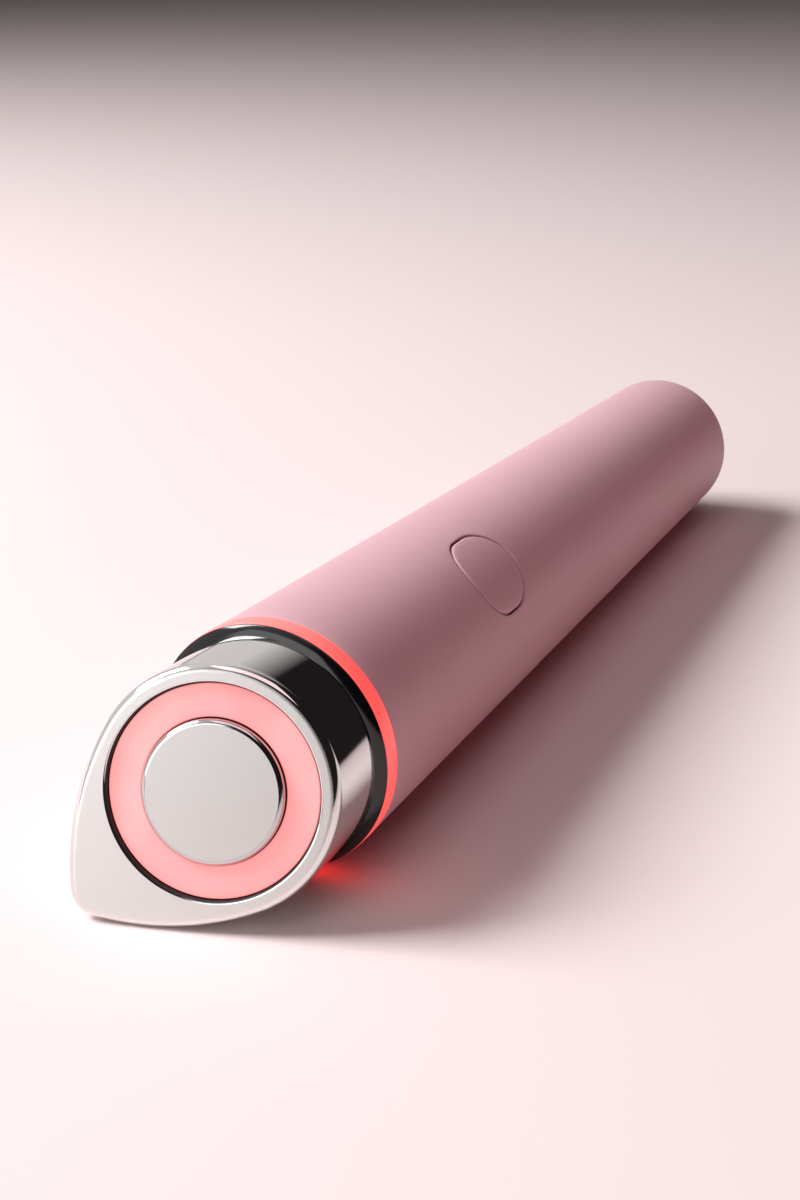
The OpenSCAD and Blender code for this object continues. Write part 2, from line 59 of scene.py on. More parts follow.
# %% [markdown]
# The wand's own axes come from the record. The mount on the tail gives the start and the direction
# of the handle, and the button's joint gives the direction of the button. Three unit vectors and a
# point make a matrix, which also turns millimetres into metres.

# %% The wand's own frame
MM = 0.001
mounts = {m["name"]: m for m in record["mounts"]}
joints = {j["name"]: j for j in frame["joints"]}
tail = Vector(mounts["tail_end"]["pos_m"])
along = -Vector(mounts["tail_end"]["axis"]).normalized()
button_out = -Vector(joints["button_press"]["axis"]).normalized()
button_out = (button_out - along * button_out.dot(along)).normalized()
sideways = along.cross(button_out)


def axes_matrix(x, y, z, origin, scale=1.0):
    m = Matrix((x, y, z)).transposed().to_4x4() @ Matrix.Scale(scale, 4)
    m.translation = origin
    return m


WAND = axes_matrix(button_out, sideways, along, tail, MM)
print("handle runs along", tuple(round(v, 3) for v in along))

# %% [markdown]
# These are the sizes that the shapes share, in millimetres. They are the real sizes of the wand.
# After the outside come the button's skirt and stem, the collar's boss and spigot, and the cavity and
# lens seat of the head.

# %% Shared sizes
HANDLE_LEN, TAIL_R, FRONT_R, WALL, TAIL_FILLET = 145.3, 12.3, 15.0, 1.8, 4.2
CAP_R, CAP_STEP, CAP_PLUG_R, END_WALL = 7.4, 1.2, 6.5, 2.4
RING_R, RING_W, SHOULDER = 15.05, 2.3, 1.0
RING_Z = HANDLE_LEN + RING_W
NECK_Z, NECK_R = RING_Z + SHOULDER, 13.9
FACE_Z, TILT = RING_Z + 12.9, math.radians(20)
FACE_R, TIP_REACH, TIP_R, FLANK_R, RIM = 14.2, 21.6, 3.4, 33.0, 1.0
HOLE_R, LENS_R, LENS_SINK, LENS_T = 12.07, 11.95, 0.68, 1.6
DISC_R, DISC_RISE, DISC_EDGE = 8.13, 0.9, 0.6
BUTTON_Z, BUTTON_L, BUTTON_W, CORNER, GAP = RING_Z - 41.3, 12.8, 11.4, 5.3, 0.25
SKIRT_TOP, SKIRT_T, SKIRT_OUT, STEM_R, STEM_FOOT, BOARD_TOP = 10.35, 0.8, 0.9, 1.6, 8.92, 5.8
BOSS_R, BOSS_H, BOSS_HOLE_R, LEAD_HOLE_R = 11.55, 3.0, 8.2, 3.5
SPIGOT_R, SPIGOT_Z, SPIGOT_TOP = 10.1, 139.5, 141.5
CAVITY_R, CAVITY_TOP, LENS_SEAT_R, LENS_SEAT = 11.6, 151.4, 8.4, -3.9
FACE = WAND @ Matrix.Translation((0, 0, FACE_Z)) @ Matrix.Rotation(TILT, 4, "Y")

# %% [markdown]
# A material starts from the real stuff. One function adds a node with its settings and links, and
# one turns the hex colour that a designer would quote into the linear values that a shader needs.


# %% Colour and node helpers
def linear(code, alpha=1.0):
    raw = [int(code[i:i + 2], 16) / 255 for i in (1, 3, 5)]
    return tuple(c / 12.92 if c <= 0.04045 else ((c + 0.055) / 1.055) ** 2.4 for c in raw) + (alpha,)


def add(tree, kind, settings=None, **inputs):
    """Adds a node. Settings are its properties, and inputs are values or sockets by socket name."""
    node = tree.nodes.new(kind)
    for key, value in (settings or {}).items():
        setattr(node, key, value)
    for key, value in inputs.items():
        socket = node.inputs[int(key[1:])] if key[0] == "_" else node.inputs[key.replace("_", " ")]
        if isinstance(value, bpy.types.NodeSocket):
            tree.links.new(value, socket)
        else:
            socket.default_value = value
    return node


def new_material(name, **inputs):
    """A material with one Principled shader, and its tree and shader to build on."""
    made = bpy.data.materials.new(name)
    made.use_nodes = True
    tree = made.node_tree
    shader = tree.nodes["Principled BSDF"]
    for key, value in inputs.items():
        shader.inputs[key.replace("_", " ")].default_value = value
    return made, tree, shader


def pattern(tree, where, size_mm, detail):
    """A noise whose cells have a real size in millimetres."""
    scale = 1 / (size_mm * MM)
    return add(tree, "ShaderNodeTexNoise", Vector=where.outputs["Object"], Scale=scale, Detail=detail)


def two_colours(tree, factor, dark, light, low=0.0, high=1.0):
    """A ramp between two hex colours, from the factor low to the factor high."""
    ramp = add(tree, "ShaderNodeValToRGB", Fac=factor)
    for element, code, position in zip(ramp.color_ramp.elements, (dark, light), (low, high)):
        element.color = linear(code)
        element.position = position
    return ramp.outputs["Color"]


def grain(tree, shader, size_mm, roughness, spread, bump):
    """Fine surface grain: size in real millimetres, a roughness that varies by spread, and a bump."""
    where = add(tree, "ShaderNodeTexCoord")
    noise = pattern(tree, where, size_mm, 3.0)
    rough = add(tree, "ShaderNodeMapRange", Value=noise.outputs["Fac"], To_Min=roughness - spread,
                To_Max=roughness + spread)
    tree.links.new(rough.outputs["Result"], shader.inputs["Roughness"])
    relief = add(tree, "ShaderNodeBump", Strength=bump, Distance=0.02 * MM, Height=noise.outputs["Fac"])
    tree.links.new(relief.outputs["Normal"], shader.inputs["Normal"])
    return where


def tint(tree, shader, where, dark, light, size_mm):
    """Slow colour drift between two close hex colours, as a sprayed or moulded surface has."""
    drift = pattern(tree, where, size_mm, 2.0)
    colour = two_colours(tree, drift.outputs["Fac"], dark, light, 0.3, 0.7)
    tree.links.new(colour, shader.inputs["Base Color"])


# %% [markdown]
# The handle and the button are moulded ABS under a soft-touch lacquer. Such a lacquer scatters light
# in a wide satin highlight with no sharp reflection, and its grain is about a tenth of a millimetre,
# drawn here at 0.25 mm so that it shows at all.


# %% Soft-touch lacquer
def soft_touch():
    made, tree, shader = new_material("soft_touch_lacquer", IOR=1.47, Sheen_Weight=0.12, Sheen_Roughness=0.5)
    where = grain(tree, shader, 0.25, 0.46, 0.03, 0.12)
    tint(tree, shader, where, "#DBAAB3", "#DFB0B9", 30)
    return made


# %% [markdown]
# The two lit pieces are frosted acrylic light guides. The light comes from inside, so each has an
# emission colour that is close to what the eye sees, with the acrylic's own gloss on top. The light
# is a little uneven, because the lamps sit at a few places behind it.


# %% Lit acrylic
def lit_acrylic(name, body, dim, bright, strength, size_mm, roughness):
    made, tree, shader = new_material(name, Base_Color=linear(body), IOR=1.49, Roughness=roughness)
    where = add(tree, "ShaderNodeTexCoord")
    cloud = pattern(tree, where, size_mm, 1.0)
    colour = two_colours(tree, cloud.outputs["Fac"], dim, bright, 0.32, 0.68)
    tree.links.new(colour, shader.inputs["Emission Color"])
    shader.inputs["Emission Strength"].default_value = strength
    return made


# %% [markdown]
# The collar is polished black ABS, deep black with a clear gloss. The head is a metal casting with
# bright chrome plate on its sides and a satin chrome face, and the centre disc is fine satin steel.
# A metal keeps the default IOR, and its roughness alone tells bright plate from satin.


# %% Black gloss and metals
def black_gloss():
    made, tree, shader = new_material("polished_black_abs", Base_Color=linear("#0B0B0C"), IOR=1.53)
    grain(tree, shader, 1.5, 0.12, 0.03, 0.02)
    return made


def metal(name, colour, roughness, spread, size_mm, bump):
    made, tree, shader = new_material(name, Base_Color=linear(colour), Metallic=1.0)
    grain(tree, shader, size_mm, roughness, spread, bump)
    return made


def plain_finish(entry):
    """A hidden piece takes its colour and class from the record, with moulded or drawn grain."""
    colour = tuple(entry["base_color"][:3]) + (1.0,)
    made, tree, shader = new_material("inner_" + entry["slot"], Base_Color=colour)
    metallic = entry["class"] in ("brushed_steel", "chrome", "aluminium", "brass", "cast_iron")
    shader.inputs["Metallic"].default_value = 1.0 if metallic else 0.0
    level = {"rubber": 0.75, "matte_plastic": 0.55, "gloss_plastic": 0.25, "chrome": 0.08}
    grain(tree, shader, 0.3, level.get(entry["class"], 0.35), 0.05, 0.1)
    return made


lacquer = soft_touch()
ring_red = lit_acrylic("lit_red_acrylic", "#F28C86", "#FF2A2E", "#FF3C3A", 0.95, 22, 0.28)
lens_pink = lit_acrylic("lit_frosted_lens", "#E9A2A2", "#F27C7C", "#FF9C98", 0.78, 9, 0.42)
black = black_gloss()
chrome = metal("bright_chrome_plate", "#E4E4E3", 0.07, 0.015, 6, 0.0)
satin_chrome = metal("satin_chrome_plate", "#E2E2E0", 0.36, 0.03, 0.12, 0.06)
satin_steel = metal("satin_steel_electrode", "#DADAD8", 0.38, 0.03, 0.15, 0.06)
polished_steel = metal("polished_steel_edge", "#C8C8C8", 0.1, 0.02, 2, 0.0)
# Black for the gaps: masking ink on the lens sides, and painted shade on the walls of the head's opening and of
# the electrode.
masking_ink_and_gap_shade = new_material("black_ink_and_painted_gap_shade", Base_Color=linear("#0C0A0A"), Roughness=0.6)[0]
bare_steel = metal("drawn_stainless_steel", "#B9BABC", 0.28, 0.05, 0.2, 0.05)
print("materials made:", len(bpy.data.materials))

# %% [markdown]
# First every imported node gets the finish of its slot, the pieces inside too, though they are never
# seen from outside. The pieces inside are never seen from outside, but the model is also looked at
# with the shell hidden.

# %% Finish for every node
slot_of = {s["node"]: s["material_slot"] for s in record["subparts"]}
inner = {entry["slot"]: plain_finish(entry) for entry in record["materials"]}
for name, obj in nodes.items():
    obj.data.materials.clear()
    obj.data.materials.append(inner[slot_of[name]])
nodes["usb_socket"].data.materials[0] = bare_steel
print("nodes finished:", len(nodes))


# %% [markdown]
# Most pieces here are rings of points that are joined into a closed skin. One function joins rings
# that all have the same number of points, and closes the last one to the first, as on a tyre, or
# leaves the first and last rings open.


# %% Skin helpers
def build(name, points, faces, materials, picks=None, place=WAND, angle=40):
    """A mesh piece in the frame: smooth faces, with edges over the angle left sharp."""
    mesh = bpy.data.meshes.new(name)
    mesh.from_pydata([place @ Vector(p) for p in points], [], faces)
    for m in materials:
        mesh.materials.append(m)
    if picks:
        mesh.polygons.foreach_set("material_index", picks)
    mesh.validate()
    obj = bpy.data.objects.new(name, mesh)
    bpy.context.scene.collection.objects.link(obj)
    mesh.set_sharp_from_angle(angle=math.radians(angle))
    mesh.polygons.foreach_set("use_smooth", [True] * len(mesh.polygons))
    return obj


def skin(rings, closed=True, start=0):
    """Quads between rings of equal length. Closed joins the last ring to the first."""
    count, n = len(rings), len(rings[0])
    faces = []
    for i in range(count if closed else count - 1):
        a, b = start + i * n, start + (i + 1) % count * n
        faces += [(a + k, a + (k + 1) % n, b + (k + 1) % n, b + k) for k in range(n)]
    return [p for ring in rings for p in ring], faces


def arc(cx, cy, r, a0, a1, steps):
    """Points of an arc in a profile, angles in degrees, both ends included."""
    turn = [math.radians(a0 + (a1 - a0) * i / steps) for i in range(steps + 1)]
    return [(cx + r * math.cos(t), cy + r * math.sin(t)) for t in turn]


def turned(profile, n=192):
    """Rings of a turned piece: profile points are (radius, height)."""
    return [[(r * math.cos(t), r * math.sin(t), z) for t in (2 * math.pi * k / n for k in range(n))]
            for r, z in profile]


def dress(piece, body, slot, *replaced):
    """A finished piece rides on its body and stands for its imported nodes."""
    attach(piece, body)
    if replaced:
        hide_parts(*replaced)
    print(f"{piece.name}: {len(piece.data.polygons)} faces on {body}")
    return piece


# %% [markdown]
# The handle is a tapered tube with a rounded tail and a window for the button. A Boolean would cut
# the window with ragged faces that catch the light. Instead the skin is a regular grid with a
# rectangle left out, and rings of points run from that rectangle to the window's rounded outline,
# over its softened edge, through the wall and back along the inside. The highlight stays clean.


# %% Button outline and handle surface
def handle_r(z):
    return TAIL_R + (FRONT_R - TAIL_R) * (z - TAIL_FILLET) / (HANDLE_LEN - TAIL_FILLET)


def rounded_reach(dz, dy, half_l, half_w, corner):
    """How far a ray along (dz, dy) runs to a rounded rectangle's outline."""
    az, ay = abs(dz), abs(dy)
    reach = min(half_l / az if az > 1e-9 else 1e9, half_w / ay if ay > 1e-9 else 1e9)
    cz, cy = half_l - corner, half_w - corner
    if reach * az > cz and reach * ay > cy:
        b = az * cz + ay * cy
        reach = b + math.sqrt(max(0.0, b * b - cz * cz - cy * cy + corner * corner))
    return reach


def surface(dz, y, sink=0.0, wall=0.0):
    """A point of the handle by the button, sunk straight in along X from the skin or the inner wall."""
    r = handle_r(BUTTON_Z + dz) - wall
    return (math.sqrt(r * r - y * y) - sink, y, BUTTON_Z + dz)


# %% Handle shell
PATCH_L, PATCH_W, PATCH_N, REST_N = 9.6, 8.4, 24, 72
WINDOW_EDGE = 0.22


def handle_profile():
    """Rows of (radius, height, inside) round the wall, and the rows that the window takes."""
    z0, z1 = BUTTON_Z - PATCH_L, BUTTON_Z + PATCH_L
    spread = [z0 + (z1 - z0) * i / PATCH_N for i in range(PATCH_N + 1)]
    low = [TAIL_FILLET + (z0 - TAIL_FILLET) * i / 40 for i in range(1, 40)]
    high = [z1 + (HANDLE_LEN - 0.2 - z1) * i / 14 for i in range(1, 15)]
    mouth = CAP_R + 0.15
    rows = [(mouth, 0.15, 0), (mouth + 0.15, 0.0, 0)]
    rows += [(r, z, 0) for r, z in arc(TAIL_R - TAIL_FILLET, TAIL_FILLET, TAIL_FILLET, -90, 0, 18)]
    rows += [(handle_r(z), z, 0) for z in low]
    first = len(rows)
    rows += [(handle_r(z), z, 0) for z in spread]
    rows += [(handle_r(z), z, 0) for z in high]
    rows += [(FRONT_R - 0.06, HANDLE_LEN - 0.06, 0), (FRONT_R - 0.2, HANDLE_LEN, 0)]
    rows += [(FRONT_R - WALL, HANDLE_LEN, 1)]
    rows += [(handle_r(z) - WALL, z, 1) for z in reversed(high[:-1])]
    second = len(rows)
    rows += [(handle_r(z) - WALL, z, 1) for z in reversed(spread)]
    rows += [(handle_r(z) - WALL, z, 1) for z in reversed(low[::4])]
    bend = TAIL_FILLET - WALL
    rows += [(r, z, 1) for r, z in arc(TAIL_R - TAIL_FILLET, END_WALL + bend, bend, 0, -90, 6)]
    rows += [(CAP_PLUG_R + 0.05, END_WALL, 1), (CAP_PLUG_R + 0.05, CAP_STEP, 1), (mouth, CAP_STEP, 1)]
    return rows, first, second


def handle_ring(r, z, inside):
    """One row of points: evenly spaced in Y over the button's patch, then evenly in angle."""
    z_ref = min(max(z, BUTTON_Z - PATCH_L), BUTTON_Z + PATCH_L)
    r_ref = handle_r(z_ref) - (WALL if inside else 0.0)
    turns = [math.asin(PATCH_W * (2 * k / PATCH_N - 1) / r_ref) for k in range(PATCH_N + 1)]
    edge = turns[-1]
    turns += [edge + (2 * math.pi - 2 * edge) * k / REST_N for k in range(1, REST_N)]
    return [(r * math.cos(t), r * math.sin(t), z) for t in turns]


def patch_loop(row, n, flip):
    """Vertex numbers round the rectangle that is left out of the grid, from its first corner."""
    rows = list(range(row, row + PATCH_N + 1))
    if flip:
        rows.reverse()
    down = [rows[0] * n + k for k in range(PATCH_N)]
    up = [rows[i] * n + PATCH_N for i in range(PATCH_N)]
    back = [rows[-1] * n + PATCH_N - k for k in range(PATCH_N)]
    home = [rows[PATCH_N - i] * n for i in range(PATCH_N)]
    return down + up + back + home


def make_handle():
    rows, first, second = handle_profile()
    points, faces = skin([handle_ring(*row) for row in rows])
    n = PATCH_N + REST_N

    def in_patch(face):
        i, k = divmod(min(face), n)
        return k < PATCH_N and (first <= i < first + PATCH_N or second <= i < second + PATCH_N) \
            and max(face) < (i + 2) * n and max(v % n for v in face) <= PATCH_N

    faces = [f for f in faces if not in_patch(f)]
    outer, back = patch_loop(first, n, False), patch_loop(second, n, True)
    unit = [(points[v][2] - BUTTON_Z, points[v][1]) for v in outer]
    reach = [math.hypot(*u) for u in unit]
    directions = [(u[0] / r, u[1] / r) for u, r in zip(unit, reach)]
    half_l, half_w, corner = BUTTON_L / 2 + GAP, BUTTON_W / 2 + GAP, CORNER + GAP
    hole = [rounded_reach(dz, dy, half_l, half_w, corner) for dz, dy in directions]
    start = len(points)
    rings = []
    for share in (0.3, 0.6, 0.85):
        rings.append([surface(*(c * (r + (h + WINDOW_EDGE - r) * share) for c in d))
                      for d, r, h in zip(directions, reach, hole)])
    for turn in (0, 22.5, 45, 67.5, 90):
        t = math.radians(turn)
        out, sink = WINDOW_EDGE * (1 - math.sin(t)), WINDOW_EDGE * (1 - math.cos(t))
        rings.append([surface(d[0] * (h + out), d[1] * (h + out), sink) for d, h in zip(directions, hole)])
    rings.append([surface(d[0] * h, d[1] * h, 0.0, WALL) for d, h in zip(directions, hole)])
    rings.append([surface(d[0] * (r + h) / 2, d[1] * (r + h) / 2, 0.0, WALL)
                  for d, r, h in zip(directions, reach, hole)])
    more, joined = skin(rings, closed=False, start=start)
    points += more
    m = len(outer)
    last = start + (len(rings) - 1) * m
    faces += [(outer[k], outer[(k + 1) % m], start + (k + 1) % m, start + k) for k in range(m)]
    faces += joined
    faces += [(last + k, last + (k + 1) % m, back[(k + 1) % m], back[k]) for k in range(m)]
    return build("handle_shell_dressed", points, faces, [lacquer], angle=50)


dress(make_handle(), "root", "soft_pink", "handle_shell")

# %% [markdown]
# The button is the piece that was cut from the window: the same rounded outline, a quarter of a
# millimetre smaller, and the same curve as the handle, so it lies flush. Rings that grow from the
# middle keep its highlight even. Below the skin it has the skirt that stops it falling out and the
# stem that reaches the switch.


# %% Power button
def make_button():
    n = 96
    directions = [(math.cos(t), math.sin(t)) for t in (2 * math.pi * k / n for k in range(n))]
    reach = [rounded_reach(dz, dy, BUTTON_L / 2, BUTTON_W / 2, CORNER) for dz, dy in directions]
    edge, dish = 0.25, 0.06
    rings = []
    for share in (0.12, 0.25, 0.4, 0.55, 0.7, 0.82, 0.92, 1.0):
        sink = dish * (1 - share * share)
        rings.append([surface(d[0] * (h - edge) * share, d[1] * (h - edge) * share, sink)
                      for d, h in zip(directions, reach)])
    for turn in (25, 50, 75, 90):
        t = math.radians(turn)
        grow, sink = edge * (1 - math.sin(t)), edge * (1 - math.cos(t))
        rings.append([surface(d[0] * (h - grow), d[1] * (h - grow), sink)
                      for d, h in zip(directions, reach)])
    for extra, x in ((0, SKIRT_TOP), (SKIRT_OUT, SKIRT_TOP), (SKIRT_OUT, SKIRT_TOP - SKIRT_T)):
        rings.append([(x, d[1] * (h + extra), BUTTON_Z + d[0] * (h + extra))
                      for d, h in zip(directions, reach)])
    for x in (SKIRT_TOP - SKIRT_T, STEM_FOOT):
        rings.append([(x, d[1] * STEM_R, BUTTON_Z + d[0] * STEM_R) for d in directions])
    points, faces = skin(rings, closed=False)
    top, base = len(points), (len(rings) - 1) * n
    points += [surface(0, 0, dish), (STEM_FOOT, 0, BUTTON_Z)]
    faces += [(top, (k + 1) % n, k) for k in range(n)]
    faces += [(top + 1, base + k, base + (k + 1) % n) for k in range(n)]
    return build("power_button_dressed", points, faces, [lacquer], angle=60)


dress(make_button(), "button", "soft_pink", "power_button")

# %% [markdown]
# Under the button is the coil spring that lifts it. A real spring doesn't move as a whole: its foot
# stays on the board and its top follows the button. Here it is drawn at rest between the board and
# the button's skirt, with a little play at each end, and rides on the fixed body with a mesh of its own.


# %% Return spring
def make_spring(foot, top):
    radius, wire, coils, steps, sides = 4.9, 0.25, 3, 32, 8
    count = coils * steps
    rings = []
    for i in range(count + 1):
        a = 2 * math.pi * i / steps
        x = foot + wire + (top - foot - 2 * wire) * i / count
        around = [2 * math.pi * k / sides for k in range(sides)]
        rings.append([(x + wire * math.sin(b), (radius + wire * math.cos(b)) * math.sin(a),
                       BUTTON_Z - (radius + wire * math.cos(b)) * math.cos(a)) for b in around])
    points, faces = skin(rings, closed=False)
    faces += [tuple(reversed(range(sides))), tuple(range(count * sides, (count + 1) * sides))]
    return build("return_spring_dressed", points, faces, [bare_steel])


SPRING_PLAY = 0.05
SPRING_FOOT, SPRING_TOP = BOARD_TOP + SPRING_PLAY, SKIRT_TOP - SKIRT_T - SPRING_PLAY
spring = dress(make_spring(SPRING_FOOT, SPRING_TOP), "root", "steel", "return_spring")
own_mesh(spring)

# %% [markdown]
# The end cap is a small disc pressed into the tail, with the long round-ended slot of the charging
# socket. The slot's outline and the disc's circle have the same number of points, so the flat
# between them is a simple skin.


# %% End cap
def make_end_cap():
    n, slot_l, slot_h, soft = 96, 9.2, 3.4, 0.12
    turns = [2 * math.pi * (k + 0.5) / n for k in range(n)]

    def slot_ring(extra, z):
        ring = []
        for t in turns:
            half_h, half_l = slot_h / 2 + extra, slot_l / 2 + extra
            reach = rounded_reach(math.cos(t), math.sin(t), half_h, half_l, half_h)
            ring.append((math.cos(t) * reach, math.sin(t) * reach, z))
        return ring

    def circle(r, z):
        return [(r * math.cos(t), r * math.sin(t), z) for t in turns]

    plug_end = END_WALL + 0.6
    rings = [slot_ring(0, plug_end), slot_ring(0, soft)]
    rings += [slot_ring(soft * 0.3, soft * 0.3), slot_ring(soft, 0)]
    rings += [circle(CAP_R * 0.9, 0), circle(CAP_R - soft, 0), circle(CAP_R - soft * 0.3, soft * 0.3),
              circle(CAP_R, soft), circle(CAP_R, CAP_STEP), circle(CAP_PLUG_R, CAP_STEP),
              circle(CAP_PLUG_R, plug_end)]
    points, faces = skin(rings)
    return build("end_cap_dressed", points, [f[::-1] for f in faces], [lacquer], angle=50)


dress(make_end_cap(), "root", "soft_pink", "end_cap")

# %% [markdown]
# The head is the piece that makes this wand: a round neck that flows into a leaning teardrop. The
# teardrop has a round part, two long flank arcs and a rounded tip. The sides are ruled: each point of
# the neck's circle runs straight to its own point of that outline. The rim is rounded with its own
# arc so that it draws a bright line of light.

# %% Teardrop outline
flank_d = FLANK_R - FACE_R
flank_x = (TIP_REACH ** 2 + flank_d ** 2 - FLANK_R ** 2) / (2 * TIP_REACH)
flank_y = -math.sqrt(flank_d ** 2 - flank_x ** 2)
tip_x = flank_x + math.sqrt((FLANK_R - TIP_R) ** 2 - flank_y ** 2)
flank_start = math.atan2(-flank_y, -flank_x)
tip_share = TIP_R / (FLANK_R - TIP_R)
tip_angle = math.atan2(-flank_y * tip_share, tip_x + (tip_x - flank_x) * tip_share)


def ray(t, cx, cy, r):
    b = cx * math.cos(t) + cy * math.sin(t)
    return b + math.sqrt(max(0.0, b * b - cx * cx - cy * cy + r * r))


def outline(t, inset=0.0):
    """Radius of the face outline at an angle from the tip, drawn in by inset."""
    a = abs(math.remainder(t, 2 * math.pi))
    if a > flank_start:
        return FACE_R - inset
    if a > tip_angle:
        return ray(a, flank_x, flank_y, FLANK_R - inset)
    return ray(a, tip_x, 0, TIP_R - inset)


def tilted(x, y, up):
    """A point of the leaning face, in the wand's frame: x from the tip side to the button side."""
    return (x * math.cos(TILT) + up * math.sin(TILT), y, FACE_Z - x * math.sin(TILT) + up * math.cos(TILT))


print("tip reach after rounding:", round(outline(0), 2), "mm")


# %% Chrome head
def make_head():
    n, flare, rim_steps = 288, 26, 10
    turns = [2 * math.pi * k / n for k in range(n)]
    rings, kinds = [], []

    def put(ring, kind):
        rings.append(ring)
        kinds.append(kind)

    def face_ring(radius, up):
        return [tilted(-radius(t) * math.cos(t), -radius(t) * math.sin(t), up) for t in turns]

    def flat_ring(r, z):
        return [(-r * math.cos(t), -r * math.sin(t), z) for t in turns]

    rim_ring = face_ring(outline, -RIM)
    neck = flat_ring(NECK_R, NECK_Z)
    put(flat_ring(NECK_R - 0.15, NECK_Z), 0)
    put(neck, 0)
    for i in range(1, flare + 1):
        s = i / flare
        put([tuple(p + (q - p) * s for p, q in zip(a, b)) for a, b in zip(neck, rim_ring)], 0)
    for i in range(1, rim_steps + 1):
        t = math.radians(90 * i / rim_steps)
        kind = 0 if i < rim_steps - 1 else 1
        put(face_ring(lambda v: outline(v, RIM * (1 - math.cos(t))), -RIM * (1 - math.sin(t))), kind)
    edge, support = 0.32, 0.04
    put(face_ring(lambda v: outline(v, RIM + support), 0), 1)
    put(face_ring(lambda v: (outline(v, RIM) + HOLE_R + edge) / 2, 0), 1)
    put(face_ring(lambda v: HOLE_R + edge + support, 0), 1)
    put(face_ring(lambda v: HOLE_R + edge, 0), 0)
    # Kind 2 colours the opening's wall black below its rounded edge: painted shade for the gap round the lens.
    for turn in (30, 60, 90):
        t = math.radians(turn)
        kind = 2 if turn > 45 else 0
        put(face_ring(lambda v: HOLE_R + edge * (1 - math.sin(t)), -edge * (1 - math.cos(t))), kind)
    put(face_ring(lambda v: HOLE_R, LENS_SEAT), 2)
    put(face_ring(lambda v: LENS_SEAT_R, LENS_SEAT), 0)
    put(flat_ring(LENS_SEAT_R, CAVITY_TOP), 0)
    put(flat_ring(CAVITY_R, CAVITY_TOP), 0)
    put(flat_ring(CAVITY_R, NECK_Z), 0)
    points, faces = skin(rings)
    picks = [kinds[(i // n + 1) % len(rings)] for i in range(len(faces))]
    finishes = [chrome, satin_chrome, masking_ink_and_gap_shade]
    return build("head_shell_dressed", points, [f[::-1] for f in faces], finishes, picks, angle=35)


dress(make_head(), "root", "chrome_head", "head_shell")

# %% [markdown]
# The collar and the electrode are turned pieces, each one outline spun round an axis. Small arcs at
# their edges matter more than anything else here, because a real moulded or machined edge is never
# sharp and its highlight is what makes the piece look solid. The electrode's wall below its rounded
# edge is coloured black as painted shade, like the wall of the head's opening, so the gaps beside
# the lens stay dark.


# %% Collar
def make_collar():
    outer = arc(RING_R - 0.25, RING_Z + 0.2, 0.2, -60, 50, 6)
    soft, top = 0.1, NECK_Z + BOSS_H
    profile = [(SPIGOT_R, RING_Z), (RING_R - 0.2, RING_Z)] + outer
    profile += [(NECK_R + 0.06, NECK_Z - 0.05), (BOSS_R, NECK_Z), (BOSS_R, top - soft), (BOSS_R - soft, top)]
    profile += [(BOSS_HOLE_R, top), (BOSS_HOLE_R, SPIGOT_TOP), (LEAD_HOLE_R, SPIGOT_TOP)]
    profile += [(LEAD_HOLE_R, SPIGOT_Z), (SPIGOT_R, SPIGOT_Z)]
    points, faces = skin(turned(profile))
    return build("collar_ring_dressed", points, faces, [black], angle=35)


dress(make_collar(), "root", "gloss_black", "collar_ring")


# %% Centre electrode
def make_electrode():
    n, top, stud_r, stud_foot = 128, DISC_RISE - LENS_SINK, 1.5, -8.0
    step_r, step_low, under = 6.0, -2.9, -1.9
    profile = [(stud_r, stud_foot), (stud_r, step_low), (step_r, step_low), (step_r, under), (DISC_R, under)]
    profile += arc(DISC_R - DISC_EDGE, top - DISC_EDGE, DISC_EDGE, 0, 90, 8)
    profile += [(DISC_R - DISC_EDGE - 0.04, top)]
    profile += [(r, top) for r in (DISC_R * 0.8, DISC_R * 0.5, DISC_R * 0.2)]
    rings = turned(profile, n)
    points, faces = skin(rings, closed=False)
    foot, last = len(points), (len(rings) - 1) * n
    points += [(0, 0, stud_foot), (0, 0, top)]
    faces += [(foot, (k + 1) % n, k) for k in range(n)]
    faces += [(foot + 1, last + k, last + (k + 1) % n) for k in range(n)]
    heights = [[points[v][2] for v in face] for face in faces]
    # Faces below the rounded edge take the black: painted shade on the electrode's wall.
    picks = [1 if min(h) > top - 0.01 else 2 if max(h) < top - DISC_EDGE + 0.01 else 0 for h in heights]
    finishes = [polished_steel, satin_steel, masking_ink_and_gap_shade]
    return build("centre_electrode_dressed", points, faces, finishes, picks, place=FACE, angle=50)


dress(make_electrode(), "root", "satin_steel", "centre_electrode")

# %% [markdown]
# The glowing ring, the lens and the rubber seal are all the same idea: a small rounded cross-section
# carried round a circle. That is a rule, so Geometry Nodes can hold it. One tree takes the radius,
# width, height and edge radius as named inputs and makes the glowing ring and the seal; the lens gets
# its own turned profile below. Its result is turned into a plain mesh, because the export doesn't
# keep modifiers of this kind.


# %% Ring tree
def socket(tree, name, kind, value=None, out=False):
    made = tree.interface.new_socket(name, in_out="OUTPUT" if out else "INPUT", socket_type=kind)
    if value is not None:
        made.default_value = value
    return made


def finish_tree(tree, geometry, material):
    """The end of each rule: real geometry, its material and the output."""
    real = add(tree, "GeometryNodeRealizeInstances", Geometry=geometry)
    done = add(tree, "GeometryNodeSetMaterial", Geometry=real.outputs["Geometry"], Material=material)
    add(tree, "NodeGroupOutput", Geometry=done.outputs["Geometry"])


